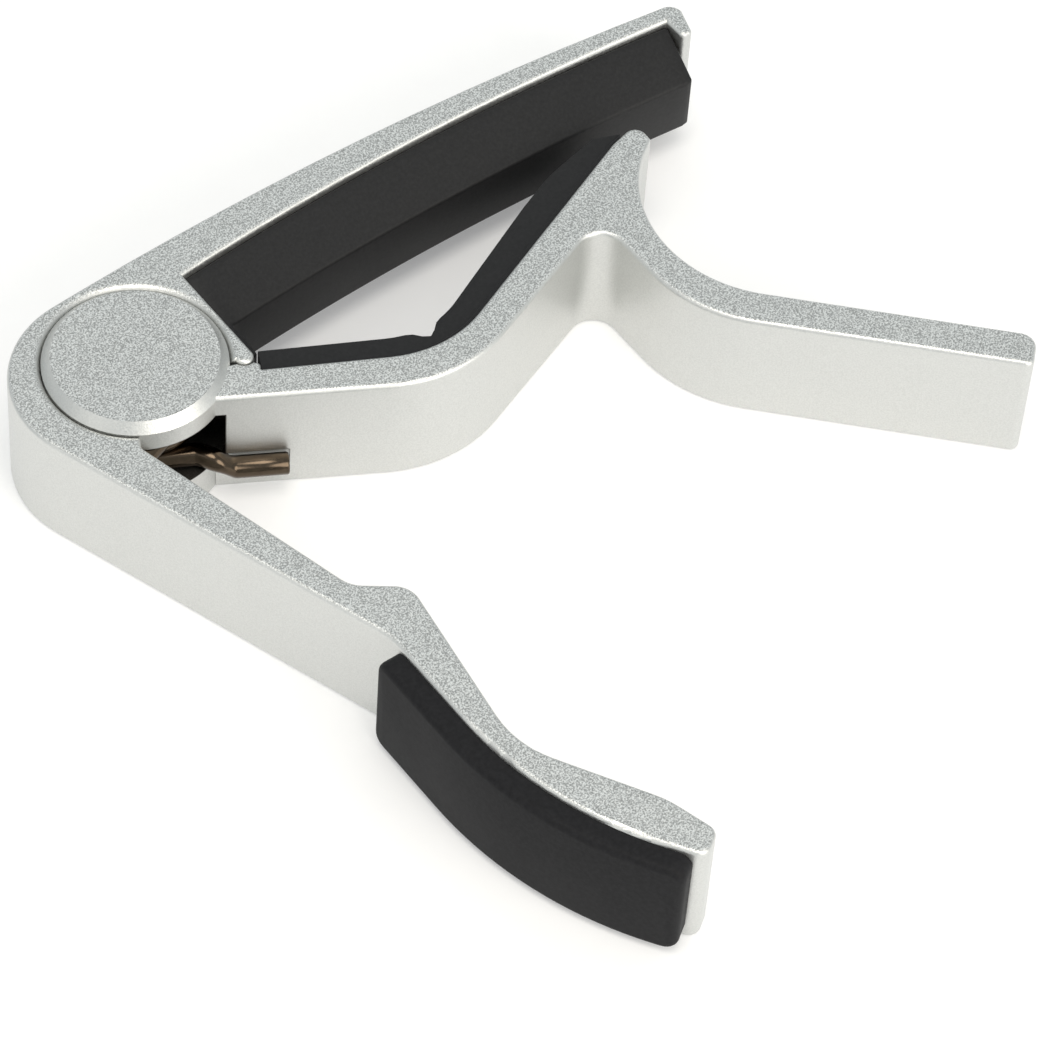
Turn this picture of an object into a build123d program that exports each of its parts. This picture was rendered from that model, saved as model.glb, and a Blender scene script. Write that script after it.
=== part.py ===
from build123d import *
import math
import os

# Guitar capo, trigger style. It lies on its side: the pivot axis is +Z, the string bar runs along +X,
# and both handles point away from the player's fretboard, towards -Y.
# The origin is on the pivot axis, in the flat lower side that the capo rests on.

# Driving dimensions, in mm
body_width = 13.0            # depth of the two castings along the pivot axis
edge_round = 0.45            # softened rims of both castings
pocket_round = 0.8          # rim of the round pocket on the upper side

# Pivot stack, from the retaining disc up to the arm's own disc
disc_radius = 8.75           # both discs turn in the frame's round pockets
running_gap = 0.05           # radial clearance of the discs in the pockets
low_disc_top = 4.2
high_disc_bottom = 10.6
disc_proud = 0.8             # how far the arm's disc stands above the castings
disc_chamfer = 0.85
ledge_gap = 0.05             # end play between the frame's ledge and the two discs
ledge_bore = 7.2             # coil chamber through the frame's ledge
leg_relief_reach = 6.9       # the ledge is relieved this far from the axis for the spring's lower leg
leg_relief_angle = -156.0    # the way that side faces, with the jaw fully open
leg_relief_top = 6.8
post_radius = 2.6            # post on the arm, under its disc
sleeve_radius = 4.2
sleeve_gap = 0.03
rivet_radius = 1.5
rivet_depth = 5.2            # driven into the post
rivet_head_radius = 2.9      # countersunk head, flush with the lower side
rivet_head_height = 1.4
fit_gap = 0.02               # parts that are fixed together

# String bar
bar_outer_radius = 350.0
bar_outer_crown = (25.0, 11.05)
bar_inner_radius = 300.0     # a 12-inch fretboard, chosen
bar_inner_crown = (40.0, 7.8)
bar_tip_x = 69.8
bar_tip_radius = 1.5
lip_inner_x = 67.6           # end lip that holds the pad
lip_end_y = 4.0
nose_face_x = 9.65           # end wall that closes the pad's other end
nose_tip = (8.7, -5.1)
nose_radius = 0.95
bend_radius = 10.6           # outside of the knuckle

# Frame handle: two straight stretches, a thumb bump and a curved end
handle_outer = (-10.13, -9.08)
handle_outer_lean = -0.3576  # x per y
seat_x = 0.71                # straight seat of the handle grip
seat_curve_y = -50.0
seat_curve_radius = 38.0
seat_curve_angle = 34.5
handle_end_length = 3.3
handle_end_thickness = 3.2
bump_points = [(10.35, -67.3), (2.95, -55.0), (5.7, -35.64), (1.27, -32.43), (-5.25, -8.75)]
bump_radii = [10.0, 10.0, 2.6, 3.0]
mouth_radius = 5.2           # the knuckle is open inside this radius, towards the arm

# Pads and grip
pad_side_gap = 0.75          # bar side to pad side, along Z
pad_height = 5.6             # from the bar to the contact face
pad_face_width = 6.2
pad_lean_start = 0.6         # straight part of the sides, next to the bar
pad_flange = 1.9             # the pad's foot along the nose
pad_flange_end = -3.55
pad_end_x = 67.1
neck_pad_side_gap = 0.7
neck_pad_thickness = 2.85
neck_pad_notch = 0.9
notch_half = 1.5
pad_lip = (55.2, -2.2)       # thin end of the neck pad over the jaw's tip
grip_side_gap = 0.5
grip_thickness = 2.3
grip_start_y = -40.3
grip_round = 1.0
grip_overrun = 2.2           # past the end of the curve

# Arm
front_start = (4.65, -8.66)  # face that the spring's leg bears on
front_angle = -28.9
valley_radius = 14.5
jaw_start = (41.28, -12.35)
jaw_angle = 21.06
armpit_x = 46.3
armpit_radius = 2.4
arm_handle_angle = -45.9
arm_handle_inner = (59.46, -38.2)  # mark on the inside face
arm_handle_root_radius = 15.0
arm_handle_thickness = 3.9
arm_handle_length = 13.6      # from the mark to the end of the inside face
back_radius = 13.7
back_centre_x = 63.4
jaw_brow = (53.4, -3.33)
jaw_point = (56.9, -2.45)
jaw_heel = (56.75, -5.0)
jaw_tip_radius = 1.2
seat_left = (16.54, -11.08)  # the neck pad's two seats
seat_left_angle = -27.1
seat_right = (41.57, -8.27)
seat_right_angle = 22.8
seat_valley_radius = 12.0
seat_step = 0.75             # step that the neck pad's end butts against
slot_radius = 9.5            # the arm's slot clears the frame's ledge and the coil
nose_rest_gap = 0.12         # arm to nose when the jaw is shut
arm_end_round = 1.6
groove_radius = 1.35         # round the spring's lower leg
groove_from = -1.5           # along the arm's face
groove_length = 7.2

# Torsion spring
wire_radius = 1.1
coil_radius = 5.6
coil_pitch = 2.22
coil_start_angle = -117.0    # lower end
coil_sweep = 673.0           # almost two turns
coil_low_z = low_disc_top + 0.025 + wire_radius
lower_leg_z = 3.9
lower_leg_offset = 0.85      # leg's axis to the arm's face
lower_leg_straight = 4.7
leg_step = (3.1, -8.9)       # where the leg steps down past the retaining disc
leg_step_z = 5.1
lower_leg_end = 5.5          # along the face
frame_leg_length = 11.3


def direction(angle):
    """Unit vector in plan at an angle in degrees."""
    return (math.cos(math.radians(angle)), math.sin(math.radians(angle)))


def along(point, angle, distance):
    """Point at a distance from another, in plan."""
    dx, dy = direction(angle)
    return (point[0] + dx * distance, point[1] + dy * distance)


def crossing(point_a, angle_a, point_b, angle_b):
    """Where two plan lines cross."""
    ax, ay = direction(angle_a)
    bx, by = direction(angle_b)
    wx, wy = point_b[0] - point_a[0], point_b[1] - point_a[1]
    reach = (wx * by - wy * bx) / (ax * by - ay * bx)
    return (point_a[0] + ax * reach, point_a[1] + ay * reach)


def crown_y(x, crown, radius):
    """Height of a long arc of the bar at x."""
    return crown[1] - radius + math.sqrt(radius ** 2 - (x - crown[0]) ** 2)


def round_rims(part, radius, low_z, high_z):
    """Soften the rims of the two flat sides."""
    rims = part.edges().filter_by_position(Axis.Z, low_z, low_z)
    rims += part.edges().filter_by_position(Axis.Z, high_z, high_z)
    fillet(rims, radius)


# ---------------------------------------------------------------- frame
bar_join = (0.0, crown_y(0.0, bar_outer_crown, bar_outer_radius))
bar_join_angle = math.degrees(math.asin(bar_outer_crown[0] / bar_outer_radius))
handle_outer_angle = -math.degrees(math.atan2(1.0, -handle_outer_lean))
knuckle_corner = crossing(bar_join, bar_join_angle, handle_outer, handle_outer_angle)
seat_knee = crossing((seat_x, seat_curve_y), 90.0, handle_outer, handle_outer_angle)
seat_centre = (seat_x + seat_curve_radius, seat_curve_y)
seat_end = along(seat_centre, 180.0 + seat_curve_angle, seat_curve_radius)
handle_end_angle = seat_curve_angle - 90.0
end_outer = along(seat_end, handle_end_angle, handle_end_length)
end_inner = along(end_outer, handle_end_angle + 90.0, handle_end_thickness)
nose_left_x = nose_tip[0] - nose_radius
lip_mouth = (lip_inner_x, lip_end_y)

# Where the spring's two legs leave the coil
coil_end_angle = coil_start_angle - coil_sweep
coil_high_z = coil_low_z + coil_pitch * coil_sweep / 360.0
upper_leg_start = along((0, 0), coil_end_angle, coil_radius)
upper_leg_angle = coil_end_angle - 90.0
lower_leg_start = along((0, 0), coil_start_angle, coil_radius)
leg_plane = Plane(origin=(upper_leg_start[0], upper_leg_start[1], coil_high_z),
                  z_dir=(*direction(upper_leg_angle), 0.0))

with BuildPart() as frame:
    with BuildSketch() as frame_outline:
        with BuildLine():
            tip_top = (bar_tip_x - bar_tip_radius, crown_y(bar_tip_x - bar_tip_radius,
                                                          bar_outer_crown, bar_outer_radius))
            mid_top = (34.0, crown_y(34.0, bar_outer_crown, bar_outer_radius))
            ThreePointArc(tip_top, mid_top, bar_join)
            FilletPolyline(bar_join, knuckle_corner, seat_knee, (seat_x, seat_curve_y),
                           radius=[bend_radius, 8.0])
            seat_mid = along(seat_centre, 180.0 + seat_curve_angle / 2, seat_curve_radius)
            ThreePointArc((seat_x, seat_curve_y), seat_mid, seat_end)
            FilletPolyline(seat_end, end_outer, end_inner, *bump_points,
                           radius=[1.2, 1.2] + bump_radii)
            mouth_low = along((0, 0), -125.0, mouth_radius)
            mouth_mid = along((0, 0), -79.0, mouth_radius)
            mouth_high = along((0, 0), -33.0, mouth_radius)
            Line(bump_points[-1], mouth_low)
            ThreePointArc(mouth_low, mouth_mid, mouth_high)
            Line(mouth_high, (nose_left_x, nose_tip[1]))
            ThreePointArc((nose_left_x, nose_tip[1]), (nose_tip[0], nose_tip[1] - nose_radius),
                          (nose_face_x, nose_tip[1]))
            nose_top = (nose_face_x, crown_y(nose_face_x, bar_inner_crown, bar_inner_radius))
            lip_top = (lip_inner_x, crown_y(lip_inner_x, bar_inner_crown, bar_inner_radius))
            Line((nose_face_x, nose_tip[1]), nose_top)
            ThreePointArc(nose_top, bar_inner_crown, lip_top)
            Line(lip_top, lip_mouth)
            lip_corner = (lip_inner_x + 1.3, lip_end_y)
            Line(lip_mouth, lip_corner)
            tip_side = (bar_tip_x, tip_top[1] - bar_tip_radius)
            Line(lip_corner, tip_side)
            RadiusArc(tip_side, tip_top, -bar_tip_radius)
        make_face()
        fillet(frame_outline.vertices().sort_by_distance(Vector(*bump_points[-1]))[0], 0.9)
        fillet(frame_outline.vertices().sort_by_distance(Vector(*lip_corner))[0], 0.5)
        fillet(frame_outline.vertices().sort_by_distance(Vector(*lip_mouth))[0], 0.5)
    extrude(amount=body_width)
    round_rims(frame.part, edge_round, 0, body_width)
    # Round pockets for the two discs, the chamber for the coil, and a softened mouth to each pocket
    for pocket_low, pocket_high in ((-1.0, low_disc_top + ledge_gap),
                                    (high_disc_bottom - ledge_gap, body_width + 1.0)):
        with BuildSketch(Plane.XY.offset(pocket_low)):
            Circle(disc_radius + running_gap)
        extrude(amount=pocket_high - pocket_low, mode=Mode.SUBTRACT)
    with BuildSketch(Plane.XY.offset(low_disc_top)):
        Circle(ledge_bore)
    extrude(amount=high_disc_bottom - low_disc_top, mode=Mode.SUBTRACT)
    # Relief for the spring's lower leg, which swings this way as the jaw opens
    with BuildSketch(Plane.XY.offset(low_disc_top)):
        relief_side = along((0.0, 0.0), leg_relief_angle, leg_relief_reach)
        relief_end = along(relief_side, leg_relief_angle + 90.0, 10.0)
        relief_mouth = along((0.0, 0.0), leg_relief_angle + 90.0, 10.0)
        Polygon((0.0, 0.0), relief_side, relief_end, relief_mouth, align=None)
    extrude(amount=leg_relief_top - low_disc_top, mode=Mode.SUBTRACT)
    # Rounded rim of the upper pocket
    with BuildSketch(Plane.XZ):
        with BuildLine():
            rim_low = (disc_radius + running_gap, body_width - pocket_round)
            rim_high = (disc_radius + running_gap + pocket_round, body_width)
            rim_slant = pocket_round * math.sqrt(0.5)
            rim_mid = (rim_high[0] - rim_slant, rim_low[1] + rim_slant)
            ThreePointArc(rim_low, rim_mid, rim_high)
            Polyline(rim_high, (rim_high[0], body_width + 1.0), (rim_low[0] - 0.5, body_width + 1.0),
                     (rim_low[0] - 0.5, rim_low[1]), rim_low)
        make_face()
    revolve(axis=Axis.Z, mode=Mode.SUBTRACT)
    # Blind hole for the spring's upper leg
    with BuildSketch(leg_plane):
        Circle(wire_radius + fit_gap)
    extrude(amount=frame_leg_length + 0.1, mode=Mode.SUBTRACT)

# ---------------------------------------------------------------- arm
valley_corner = crossing(front_start, front_angle, jaw_start, jaw_angle)
armpit_corner = crossing(jaw_start, jaw_angle, (armpit_x, 0.0), 90.0)
root_corner = crossing((armpit_x, 0.0), 90.0, arm_handle_inner, arm_handle_angle)
back_line = along(arm_handle_inner, arm_handle_angle + 90.0, arm_handle_thickness)
arm_handle_end = along(arm_handle_inner, arm_handle_angle, arm_handle_length)
arm_end_outer = along(arm_handle_end, arm_handle_angle + 90.0, arm_handle_thickness)
# The back's arc is tangent to the outside of the handle
tangent_side = direction(arm_handle_angle + 90.0)
back_rise = back_radius - (back_centre_x - back_line[0]) * tangent_side[0]
back_centre_y = back_line[1] + back_rise / tangent_side[1]
back_centre = (back_centre_x, back_centre_y)
back_low = along(back_centre, arm_handle_angle - 90.0, back_radius)
back_mid = along(back_centre, 180.0, back_radius)
back_high = along(back_centre, 128.0, back_radius)
seat_valley = crossing(seat_left, seat_left_angle, seat_right, seat_right_angle)
seat_foot = along(seat_left, seat_left_angle + 180.0, 8.3)
seat_shoulder = along(seat_foot, seat_left_angle + 90.0, seat_step)
nose_clear = nose_radius + nose_rest_gap
shoulder_low = along(nose_tip, -72.0, nose_clear)
shoulder_mid = along(nose_tip, -115.0, nose_clear)
shoulder_high = along(nose_tip, -160.0, nose_clear)
groove_start = along(along(front_start, front_angle, groove_from), front_angle - 90.0, lower_leg_offset)
groove_plane = Plane(origin=(groove_start[0], groove_start[1], lower_leg_z),
                     z_dir=(*direction(front_angle), 0.0))

with BuildPart() as arm:
    with BuildSketch() as arm_outline:
        with BuildLine():
            arm_inside = along((0, 0), -60.0, 4.0)
            front_root = along(front_start, front_angle + 180.0, 3.4)
            FilletPolyline(arm_inside, front_root, valley_corner, armpit_corner, root_corner,
                           arm_handle_end, arm_end_outer, back_low,
                           radius=[0.5, valley_radius, armpit_radius, arm_handle_root_radius,
                                   0.8, arm_end_round])
            ThreePointArc(back_low, back_mid, back_high)
            FilletPolyline(back_high, jaw_heel, jaw_point, jaw_brow, seat_valley, seat_foot,
                           seat_shoulder, shoulder_low,
                           radius=[0.5, jaw_tip_radius, 4.0, seat_valley_radius, 0.1, 0.3])
            ThreePointArc(shoulder_low, shoulder_mid, shoulder_high)
            Line(shoulder_high, arm_inside)
        make_face()
    extrude(amount=body_width)
    round_rims(arm.part, edge_round, 0, body_width)
    # Slot for the frame's ledge and the coil, open below for the retaining disc
    with BuildSketch(Plane.XY.offset(low_disc_top)):
        Circle(slot_radius)
    extrude(amount=high_disc_bottom - low_disc_top, mode=Mode.SUBTRACT)
    with BuildSketch(Plane.XY.offset(-1.0)):
        Circle(disc_radius + fit_gap)
    extrude(amount=low_disc_top + 1.0, mode=Mode.SUBTRACT)
    # Disc and post, turned about the pivot axis
    with BuildSketch(Plane.XZ):
        with BuildLine():
            disc_high = body_width + disc_proud
            Polyline((0, low_disc_top), (post_radius, low_disc_top), (post_radius, high_disc_bottom),
                     (disc_radius, high_disc_bottom), (disc_radius, disc_high - 1.0),
                     (disc_radius - disc_chamfer, disc_high), (0, disc_high), close=True)
        make_face()
    revolve(axis=Axis.Z)
    # Groove that the spring's lower leg lies in
    with BuildSketch(groove_plane):
        Circle(groove_radius)
    extrude(amount=groove_length, mode=Mode.SUBTRACT)
    # Blind hole for the rivet
    with BuildSketch(Plane.XY.offset(low_disc_top)):
        Circle(rivet_radius + fit_gap)
    extrude(amount=rivet_depth + 0.4, mode=Mode.SUBTRACT)

# ---------------------------------------------------------------- pivot pieces
with BuildPart() as retaining_disc:
    with BuildSketch():
        Circle(disc_radius)
    extrude(amount=low_disc_top - fit_gap)
    fillet(retaining_disc.edges().sort_by(Axis.Z)[0], edge_round)
    with BuildSketch(Plane.XZ):
        sink_radius = rivet_head_radius + 2 * fit_gap
        Polygon((0, 0), (sink_radius, 0), (rivet_radius + fit_gap, rivet_head_height + fit_gap),
                (rivet_radius + fit_gap, low_disc_top), (0, low_disc_top), align=None)
    revolve(axis=Axis.Z, mode=Mode.SUBTRACT)

with BuildPart() as pivot_rivet:
    with BuildSketch(Plane.XZ):
        rivet_top = low_disc_top + rivet_depth
        Polygon((0, 0), (rivet_head_radius, 0), (rivet_radius, rivet_head_height),
                (rivet_radius, rivet_top - 0.3), (rivet_radius - 0.3, rivet_top), (0, rivet_top),
                align=None)
    revolve(axis=Axis.Z)

with BuildPart() as coil_sleeve:
    with BuildSketch(Plane.XY.offset(low_disc_top + fit_gap)):
        Circle(sleeve_radius)
        Circle(post_radius + sleeve_gap, mode=Mode.SUBTRACT)
    extrude(amount=high_disc_bottom - low_disc_top - 2 * fit_gap)

# ---------------------------------------------------------------- torsion spring
leg_straight_end = along(lower_leg_start, coil_start_angle + 90.0, lower_leg_straight)
face_normal_angle = front_angle - 90.0
leg_on_face = along(along(front_start, front_angle, 0.6), face_normal_angle, lower_leg_offset)
leg_tip = along(along(front_start, front_angle, lower_leg_end), face_normal_angle, lower_leg_offset)
coil_plane = Plane(origin=(0, 0, coil_low_z), x_dir=(*direction(coil_start_angle), 0.0), z_dir=(0, 0, 1))

with BuildPart() as torsion_spring:
    with BuildLine(coil_plane) as coil_path:
        Helix(coil_pitch, coil_pitch * coil_sweep / 360.0, coil_radius, lefthand=True)
    with BuildSketch(Plane(origin=coil_path.line @ 0, z_dir=coil_path.line % 0)):
        Circle(wire_radius)
    sweep(path=coil_path.line, is_frenet=True)
    # Upper leg, straight into the frame's handle
    with BuildSketch(leg_plane):
        Circle(wire_radius)
    extrude(amount=frame_leg_length)
    # Lower leg, which steps out of the slot and lies along the arm's face
    with BuildLine() as leg_path:
        Line((*lower_leg_start, coil_low_z), (*leg_straight_end, coil_low_z))
        Spline((*leg_straight_end, coil_low_z), (*leg_step, leg_step_z), (*leg_on_face, lower_leg_z),
               tangents=[(*direction(coil_start_angle + 90.0), 0.0), (*direction(front_angle), 0.0)])
        Line((*leg_on_face, lower_leg_z), (*leg_tip, lower_leg_z))
    with BuildSketch(Plane(origin=leg_path.wire() @ 0, z_dir=leg_path.wire() % 0)):
        Circle(wire_radius)
    sweep(path=leg_path.wire())
    with Locations((*upper_leg_start, coil_high_z), (*lower_leg_start, coil_low_z)):
        Sphere(wire_radius)

# ---------------------------------------------------------------- string pad
pad_low_z = pad_side_gap
pad_high_z = body_width - pad_side_gap
mid_z = body_width / 2
pad_left = nose_face_x + fit_gap
pad_right = lip_inner_x - fit_gap
pad_back = (bar_inner_crown[0], bar_inner_crown[1] - fit_gap)
pad_front = (bar_inner_crown[0], bar_inner_crown[1] - pad_height)

with BuildPart() as string_pad:
    with BuildSketch(Plane.XY.offset(pad_low_z)) as pad_outline:
        with BuildLine():
            back_left = (pad_left, crown_y(pad_left, pad_back, bar_inner_radius))
            back_right = (pad_right, crown_y(pad_right, pad_back, bar_inner_radius))
            front_left = (pad_left + pad_flange + 1.1, crown_y(pad_left, pad_front, bar_inner_radius))
            front_right = (pad_end_x, crown_y(pad_end_x, pad_front, bar_inner_radius))
            ThreePointArc(back_left, pad_back, back_right)
            Line(back_right, front_right)
            ThreePointArc(front_right, pad_front, front_left)
            Polyline(front_left, (pad_left + pad_flange, pad_flange_end), (pad_left, pad_flange_end),
                     back_left)
        make_face()
        fillet(pad_outline.vertices().sort_by_distance(Vector(*front_right))[0], 1.2)
        fillet(pad_outline.vertices().sort_by_distance(Vector(*front_left))[0], 1.0)
    extrude(amount=pad_high_z - pad_low_z)
    # Sides that lean in towards the strings
    with BuildSketch(Plane.YZ.offset(pad_left - 1.0)):
        low_face = mid_z - pad_face_width / 2
        high_face = mid_z + pad_face_width / 2
        Polygon((bar_inner_crown[1] - pad_lean_start, pad_low_z - 0.5),
                (bar_inner_crown[1] + 1.0, pad_low_z - 0.5),
                (bar_inner_crown[1] + 1.0, pad_high_z + 0.5),
                (bar_inner_crown[1] - pad_lean_start, pad_high_z + 0.5),
                (pad_front[1] - 0.5, high_face), (pad_flange_end - 1.0, high_face),
                (pad_flange_end - 1.0, low_face), (pad_front[1] - 0.5, low_face), align=None)
    extrude(amount=pad_right - pad_left + 4.0, mode=Mode.INTERSECT)

# ---------------------------------------------------------------- neck pad
with BuildPart() as neck_pad:
    with BuildSketch(Plane.XY.offset(neck_pad_side_gap)):
        with BuildLine():
            under_left = along(along(seat_foot, seat_left_angle, 0.08), seat_left_angle + 90.0, fit_gap)
            under_valley = (seat_valley[0], seat_valley[1] + 1.2 * fit_gap)
            under_brow = (jaw_brow[0], jaw_brow[1] + fit_gap)
            FilletPolyline(under_left, under_valley, under_brow, radius=seat_valley_radius)
            top_left = along(under_left, seat_left_angle + 90.0, neck_pad_thickness)
            top_valley = (seat_valley[0] - 0.1, seat_valley[1] + neck_pad_thickness * 1.12)
            top_right = along(seat_right, seat_right_angle + 90.0, neck_pad_thickness + 0.6)
            Polyline(under_left, top_left, (top_valley[0] - notch_half, top_valley[1] + notch_half * 0.5))
            ThreePointArc((top_valley[0] - notch_half, top_valley[1] + notch_half * 0.5),
                          (top_valley[0], top_valley[1] - neck_pad_notch),
                          (top_valley[0] + notch_half, top_valley[1] + notch_half * 0.4))
            Polyline((top_valley[0] + notch_half, top_valley[1] + notch_half * 0.4), top_right,
                     pad_lip, under_brow)
        make_face()
    extrude(amount=body_width - 2 * neck_pad_side_gap)

# ---------------------------------------------------------------- handle grip
grip_seat = (seat_x - fit_gap, grip_start_y)
grip_radius = seat_curve_radius + fit_gap
grip_outer_radius = seat_curve_radius + grip_thickness
grip_end_angle = 180.0 + seat_curve_angle
with BuildPart() as handle_grip:
    with BuildSketch(Plane.XY.offset(grip_side_gap)) as grip_outline:
        with BuildLine():
            grip_bend = (grip_seat[0], seat_curve_y)
            grip_tip = along(seat_centre, grip_end_angle, grip_radius)
            grip_tip_out = along(along(seat_centre, grip_end_angle, grip_outer_radius),
                                 handle_end_angle, grip_overrun)
            grip_tip_in = along(grip_tip, handle_end_angle, grip_overrun)
            Line(grip_seat, grip_bend)
            ThreePointArc(grip_bend,
                          along(seat_centre, 180.0 + seat_curve_angle / 2, grip_radius), grip_tip)
            Polyline(grip_tip, grip_tip_in, grip_tip_out,
                     along(seat_centre, grip_end_angle, grip_outer_radius))
            ThreePointArc(along(seat_centre, grip_end_angle, grip_outer_radius),
                          along(seat_centre, 180.0 + seat_curve_angle / 2, grip_outer_radius),
                          (seat_x - grip_thickness, seat_curve_y))
            Polyline((seat_x - grip_thickness, seat_curve_y), (seat_x - grip_thickness, grip_start_y),
                     grip_seat)
        make_face()
        fillet(grip_outline.vertices().sort_by_distance(Vector(*grip_tip_out))[0], 1.2)
    extrude(amount=body_width - 2 * grip_side_gap)
    flat_faces = handle_grip.faces().filter_by(Axis.Z)
    round_edges = flat_faces.edges().filter_by(GeomType.CIRCLE)
    fillet(round_edges.group_by(SortBy.RADIUS)[-1], grip_round)

# ---------------------------------------------------------------- one file for each piece
os.makedirs("parts", exist_ok=True)
frame.part.label = "frame"
export_step(frame.part, "parts/frame.step")
arm.part.label = "arm"
export_step(arm.part, "parts/arm.step")
retaining_disc.part.label = "retaining_disc"
export_step(retaining_disc.part, "parts/retaining_disc.step")
pivot_rivet.part.label = "pivot_rivet"
export_step(pivot_rivet.part, "parts/pivot_rivet.step")
coil_sleeve.part.label = "coil_sleeve"
export_step(coil_sleeve.part, "parts/coil_sleeve.step")
torsion_spring.part.label = "torsion_spring"
export_step(torsion_spring.part, "parts/torsion_spring.step")
string_pad.part.label = "string_pad"
export_step(string_pad.part, "parts/string_pad.step")
neck_pad.part.label = "neck_pad"
export_step(neck_pad.part, "parts/neck_pad.step")
handle_grip.part.label = "handle_grip"
export_step(handle_grip.part, "parts/handle_grip.step")
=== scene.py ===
import math

import bmesh
import bpy
from bpy.props import FloatProperty, FloatVectorProperty, PointerProperty, StringProperty
from mathutils import Matrix, Vector


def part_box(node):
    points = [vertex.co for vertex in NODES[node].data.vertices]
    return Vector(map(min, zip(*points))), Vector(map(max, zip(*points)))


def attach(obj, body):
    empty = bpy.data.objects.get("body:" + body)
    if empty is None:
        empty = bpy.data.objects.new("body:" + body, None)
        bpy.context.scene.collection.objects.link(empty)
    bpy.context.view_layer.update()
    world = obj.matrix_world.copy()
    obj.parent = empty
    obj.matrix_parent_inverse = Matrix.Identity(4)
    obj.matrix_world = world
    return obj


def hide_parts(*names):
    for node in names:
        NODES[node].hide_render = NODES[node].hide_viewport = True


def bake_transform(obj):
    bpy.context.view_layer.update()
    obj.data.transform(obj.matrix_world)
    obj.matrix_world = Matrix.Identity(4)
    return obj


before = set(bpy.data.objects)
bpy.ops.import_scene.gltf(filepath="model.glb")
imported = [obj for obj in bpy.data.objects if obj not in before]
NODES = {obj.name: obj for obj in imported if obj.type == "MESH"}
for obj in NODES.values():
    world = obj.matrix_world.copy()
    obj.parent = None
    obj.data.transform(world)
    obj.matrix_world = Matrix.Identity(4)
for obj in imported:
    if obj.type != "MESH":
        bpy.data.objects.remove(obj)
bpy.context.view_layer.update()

bl_info = {
    "name": "Guitar Capo",
    "version": (1, 0, 0),
    "blender": (4, 5, 0),
    "location": "3D View > Sidebar > Capo",
    "description": "Finishes a trigger capo: rubber pads, spring, blasted castings and a small studio",
    "category": "Object",
}

MM = 0.001
FRAME_BODY = "frame_body"
ARM_BODY = "arm_body"

BODY_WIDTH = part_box("frame")[1][2]
PAD_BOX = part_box("string_pad")
NECK_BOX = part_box("neck_pad")
GRIP_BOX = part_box("handle_grip")
SPRING_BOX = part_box("torsion_spring")

FIT_GAP = 0.02 * MM                 # between pieces that are fixed together

# String pad
PAD_STRAIGHT_SIDE = 0.6 * MM        # straight part of the sides, next to the bar
PAD_FOOT_LENGTH = 1.9 * MM          # foot that runs down the nose
PAD_FOOT_BLEND = 1.1 * MM
PAD_END_LEAN = (0.55 * MM, 0.25 * MM)

# Handle grip: a straight seat, then the handle's curve
GRIP_SEAT = (0.69, -40.3)           # mm
HANDLE_LINE_X = 0.71 * MM
HANDLE_BEND_Y = -50.0 * MM
HANDLE_CURVE_RADIUS = 38.0 * MM
HANDLE_END_ANGLE = -55.5
GRIP_END_ANGLE = 214.5
GRIP_OVERRUN = 2.1 * MM             # past the end of the curve

# Torsion spring
COIL_START = -117.0                 # degrees
COIL_SWEEP = -673.0
ARM_FACE_START = (4.65, -8.66)      # mm, where the arm's face begins
ARM_FACE_ANGLE = -28.9
LEG_OFFSET = 0.85 * MM              # the lower leg stands this far off the face
LEG_FROM = 0.6 * MM
LEG_TO = 5.5 * MM
LEG_STRAIGHT = 4.7 * MM             # straight run out of the coil
LEG_STEP = (3.1, -8.9)              # mm, middle of the step down to the face
LEG_STEP_Z = 5.2 * MM
UPPER_LEG_LENGTH = 11.3 * MM

# Studio: name, place, size in metres, power in watts
LIGHT_AIM = (0.03, -0.03, 0.0)
SOFTBOXES = (
    ("softbox_top", (-0.12, -0.18, 0.9), 0.5, 3.0),
    ("softbox_left", (-0.9, -0.15, 0.55), 0.7, 0.7),
    ("softbox_front", (0.15, -0.95, 0.5), 0.8, 6.0),
)


# ------------------------------------------------------------------ small geometry helpers
def direction(angle):
    """Unit vector in plan at an angle in degrees."""
    return Vector((math.cos(math.radians(angle)), math.sin(math.radians(angle)), 0.0))


def plan(x, y, z=0.0):
    """A point given in millimetres."""
    return Vector((x * MM, y * MM, z * MM))


def arc_points(centre, radius, start, end, count):
    """Points on a plan arc, from one angle to another."""
    return [centre + direction(start + (end - start) * i / count) * radius for i in range(count + 1)]


def rounded_corner(before, corner, after, radius, count):
    """Points of the arc that rounds a plan corner."""
    back = (before - corner).normalized()
    ahead = (after - corner).normalized()
    half = back.angle(ahead) / 2
    run = radius / math.tan(half)
    centre = corner + (back + ahead).normalized() * (radius / math.sin(half))
    first = corner + back * run - centre
    last = corner + ahead * run - centre
    start = math.degrees(math.atan2(first.y, first.x))
    turn = math.degrees(math.atan2(first.x * last.y - first.y * last.x, first.dot(last)))
    return arc_points(centre, radius, start, start + turn, count)


# ------------------------------------------------------------------ modelling helpers
def begin(name):
    """The object that a primitive has just made, with its name, in edit mode and nothing selected."""
    piece = bpy.context.object
    piece.name = name
    piece.data.name = name
    bpy.ops.object.mode_set(mode="EDIT")
    bpy.ops.mesh.select_mode(type="VERT")
    bpy.ops.mesh.select_all(action="DESELECT")
    return piece


def clear_selection():
    """Nothing is selected before a primitive is added."""
    if bpy.context.object and bpy.context.object.mode != "OBJECT":
        bpy.ops.object.mode_set(mode="OBJECT")
    bpy.ops.object.select_all(action="DESELECT")


def pick(mesh, chosen):
    """Select these vertices, by index, in edit mode."""
    bm = bmesh.from_edit_mesh(mesh)
    bm.verts.ensure_lookup_table()
    for v in bm.verts:
        v.select_set(False)
    for i in chosen:
        bm.verts[i].select_set(True)
    bm.select_flush(True)
    bmesh.update_edit_mesh(mesh)


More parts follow.
